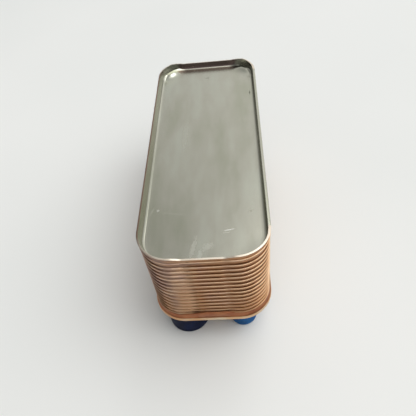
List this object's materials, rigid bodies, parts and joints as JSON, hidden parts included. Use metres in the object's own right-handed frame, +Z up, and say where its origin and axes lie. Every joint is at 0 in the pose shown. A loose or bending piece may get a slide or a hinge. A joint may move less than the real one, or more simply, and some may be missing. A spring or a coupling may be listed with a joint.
{
  "type": "plate heat exchanger",
  "caption": "Brazed plate heat exchanger: a long, round-cornered stack of nested plates with a recessed back cover, lying on its capped pipe connections.",
  "frame": {"origin": "on the floor that the caps stand on, under the middle of the plates", "axes": "+Z up, out of the back cover; +Y along the plates; +X from the threaded nipples to the solder sockets"},
  "size_m": [0.0762, 0.195, 0.094],
  "materials": {
    "stainless_back_cover": "cold-rolled stainless steel, dulled by the brazing furnace",
    "stainless_front_cover": "stainless steel with a copper flush on top",
    "copper_brazed_skirt": "stainless skirt wetted with brazing copper",
    "connection_steel": "turned stainless steel",
    "navy_blue_plastic": "moulded polyethylene",
    "blue_plastic": "moulded polyethylene"
  },
  "bodies": {
    "exchanger": {"back_cover_plate": "stainless_back_cover", "channel_plate_01": "copper_brazed_skirt", "channel_plate_02": "copper_brazed_skirt", "channel_plate_03": "copper_brazed_skirt", "channel_plate_04": "copper_brazed_skirt", "channel_plate_05": "copper_brazed_skirt", "channel_plate_06": "copper_brazed_skirt", "channel_plate_07": "copper_brazed_skirt", "channel_plate_08": "copper_brazed_skirt", "channel_plate_09": "copper_brazed_skirt", "channel_plate_10": "copper_brazed_skirt", "channel_plate_11": "copper_brazed_skirt", "channel_plate_12": "copper_brazed_skirt", "channel_plate_13": "copper_brazed_skirt", "channel_plate_14": "copper_brazed_skirt", "channel_plate_15": "copper_brazed_skirt", "channel_plate_16": "copper_brazed_skirt", "channel_plate_17": "copper_brazed_skirt", "channel_plate_18": "copper_brazed_skirt", "channel_plate_19": "copper_brazed_skirt", "channel_plate_20": "copper_brazed_skirt", "channel_plate_21": "copper_brazed_skirt", "channel_plate_22": "copper_brazed_skirt", "channel_plate_23": "copper_brazed_skirt", "channel_plate_24": "copper_brazed_skirt", "channel_plate_25": "copper_brazed_skirt", "channel_plate_26": "copper_brazed_skirt", "channel_plate_27": "copper_brazed_skirt", "channel_plate_28": "copper_brazed_skirt", "channel_plate_29": "copper_brazed_skirt", "front_cover_plate": "stainless_front_cover", "solder_socket_far": "connection_steel", "solder_socket_near": "connection_steel", "water_nipple_far": "connection_steel", "water_nipple_near": "connection_steel"},
    "nipple_cap_near": {"nipple_cap_near": "navy_blue_plastic"},
    "nipple_cap_far": {"nipple_cap_far": "navy_blue_plastic"},
    "socket_cap_near": {"socket_cap_near": "blue_plastic"},
    "socket_cap_far": {"socket_cap_far": "blue_plastic"}
  },
  "joints": [
    {"name": "nipple_cap_near_pull_off", "type": "slide", "parent": "exchanger", "child": "nipple_cap_near", "axis": [0, 0, -1], "range_m": [0, 0.03]},
    {"name": "nipple_cap_far_pull_off", "type": "slide", "parent": "exchanger", "child": "nipple_cap_far", "axis": [0, 0, -1], "range_m": [0, 0.03]},
    {"name": "socket_cap_near_pull_off", "type": "slide", "parent": "exchanger", "child": "socket_cap_near", "axis": [0, 0, -1], "range_m": [0, 0.03]},
    {"name": "socket_cap_far_pull_off", "type": "slide", "parent": "exchanger", "child": "socket_cap_far", "axis": [0, 0, -1], "range_m": [0, 0.03]}
  ]
}
